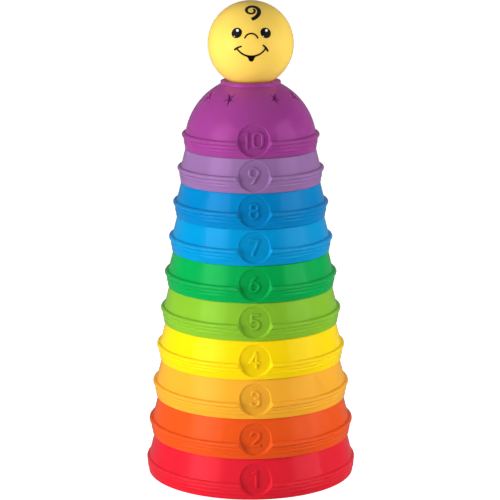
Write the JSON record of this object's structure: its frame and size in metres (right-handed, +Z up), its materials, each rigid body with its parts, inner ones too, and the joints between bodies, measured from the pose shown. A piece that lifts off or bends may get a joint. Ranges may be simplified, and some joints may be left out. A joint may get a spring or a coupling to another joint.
{
  "type": "stacking cup tower toy",
  "caption": "Tower of numbered round nesting cups stacked upside down by size, each with a bead and a number disc, and a smiling ball in a collar on top.",
  "frame": {"origin": "centre of the largest cup's rim, on the surface the tower stands on", "axes": "+Z up through the tower's axis; the number discs and the ball's face look along -Y; +X is to the right of the numbers"},
  "size_m": [0.1248, 0.1241, 0.2814],
  "materials": {
    "plastic_red": "glossy, slightly translucent moulded plastic",
    "plastic_orange": "glossy, slightly translucent moulded plastic",
    "plastic_light_orange": "glossy, slightly translucent moulded plastic",
    "plastic_yellow": "glossy, slightly translucent moulded plastic",
    "plastic_lime": "glossy, slightly translucent moulded plastic",
    "plastic_green": "glossy, slightly translucent moulded plastic",
    "plastic_light_blue": "glossy, slightly translucent moulded plastic",
    "plastic_blue": "glossy, slightly translucent moulded plastic",
    "plastic_lilac": "glossy, slightly translucent moulded plastic",
    "plastic_purple": "glossy, slightly translucent moulded plastic",
    "plastic_ball_yellow": "glossy moulded plastic with a printed face"
  },
  "bodies": {
    "cup_1": {"cup_1": "plastic_red"},
    "cup_2": {"cup_2": "plastic_orange"},
    "cup_3": {"cup_3": "plastic_light_orange"},
    "cup_4": {"cup_4": "plastic_yellow"},
    "cup_5": {"cup_5": "plastic_lime"},
    "cup_6": {"cup_6": "plastic_green"},
    "cup_7": {"cup_7": "plastic_light_blue"},
    "cup_8": {"cup_8": "plastic_blue"},
    "cup_9": {"cup_9": "plastic_lilac"},
    "cup_10": {"cup_10": "plastic_purple"},
    "ball": {"ball_face_half": "plastic_ball_yellow", "ball_back_half": "plastic_ball_yellow"}
  },
  "joints": [
    {"name": "cup_2_lift", "type": "slide", "parent": "cup_1", "child": "cup_2", "axis": [0, 0, 1], "range_m": [0, 0.046]},
    {"name": "cup_3_lift", "type": "slide", "parent": "cup_2", "child": "cup_3", "axis": [0, 0, 1], "range_m": [0, 0.044]},
    {"name": "cup_4_lift", "type": "slide", "parent": "cup_3", "child": "cup_4", "axis": [0, 0, 1], "range_m": [0, 0.042]},
    {"name": "cup_5_lift", "type": "slide", "parent": "cup_4", "child": "cup_5", "axis": [0, 0, 1], "range_m": [0, 0.04]},
    {"name": "cup_6_lift", "type": "slide", "parent": "cup_5", "child": "cup_6", "axis": [0, 0, 1], "range_m": [0, 0.038]},
    {"name": "cup_7_lift", "type": "slide", "parent": "cup_6", "child": "cup_7", "axis": [0, 0, 1], "range_m": [0, 0.036]},
    {"name": "cup_8_lift", "type": "slide", "parent": "cup_7", "child": "cup_8", "axis": [0, 0, 1], "range_m": [0, 0.034]},
    {"name": "cup_9_lift", "type": "slide", "parent": "cup_8", "child": "cup_9", "axis": [0, 0, 1], "range_m": [0, 0.032]},
    {"name": "cup_10_lift", "type": "slide", "parent": "cup_9", "child": "cup_10", "axis": [0, 0, 1], "range_m": [0, 0.029]},
    {"name": "ball_lift", "type": "slide", "parent": "cup_10", "child": "ball", "axis": [0, 0, 1], "range_m": [0, 0.015]}
  ]
}
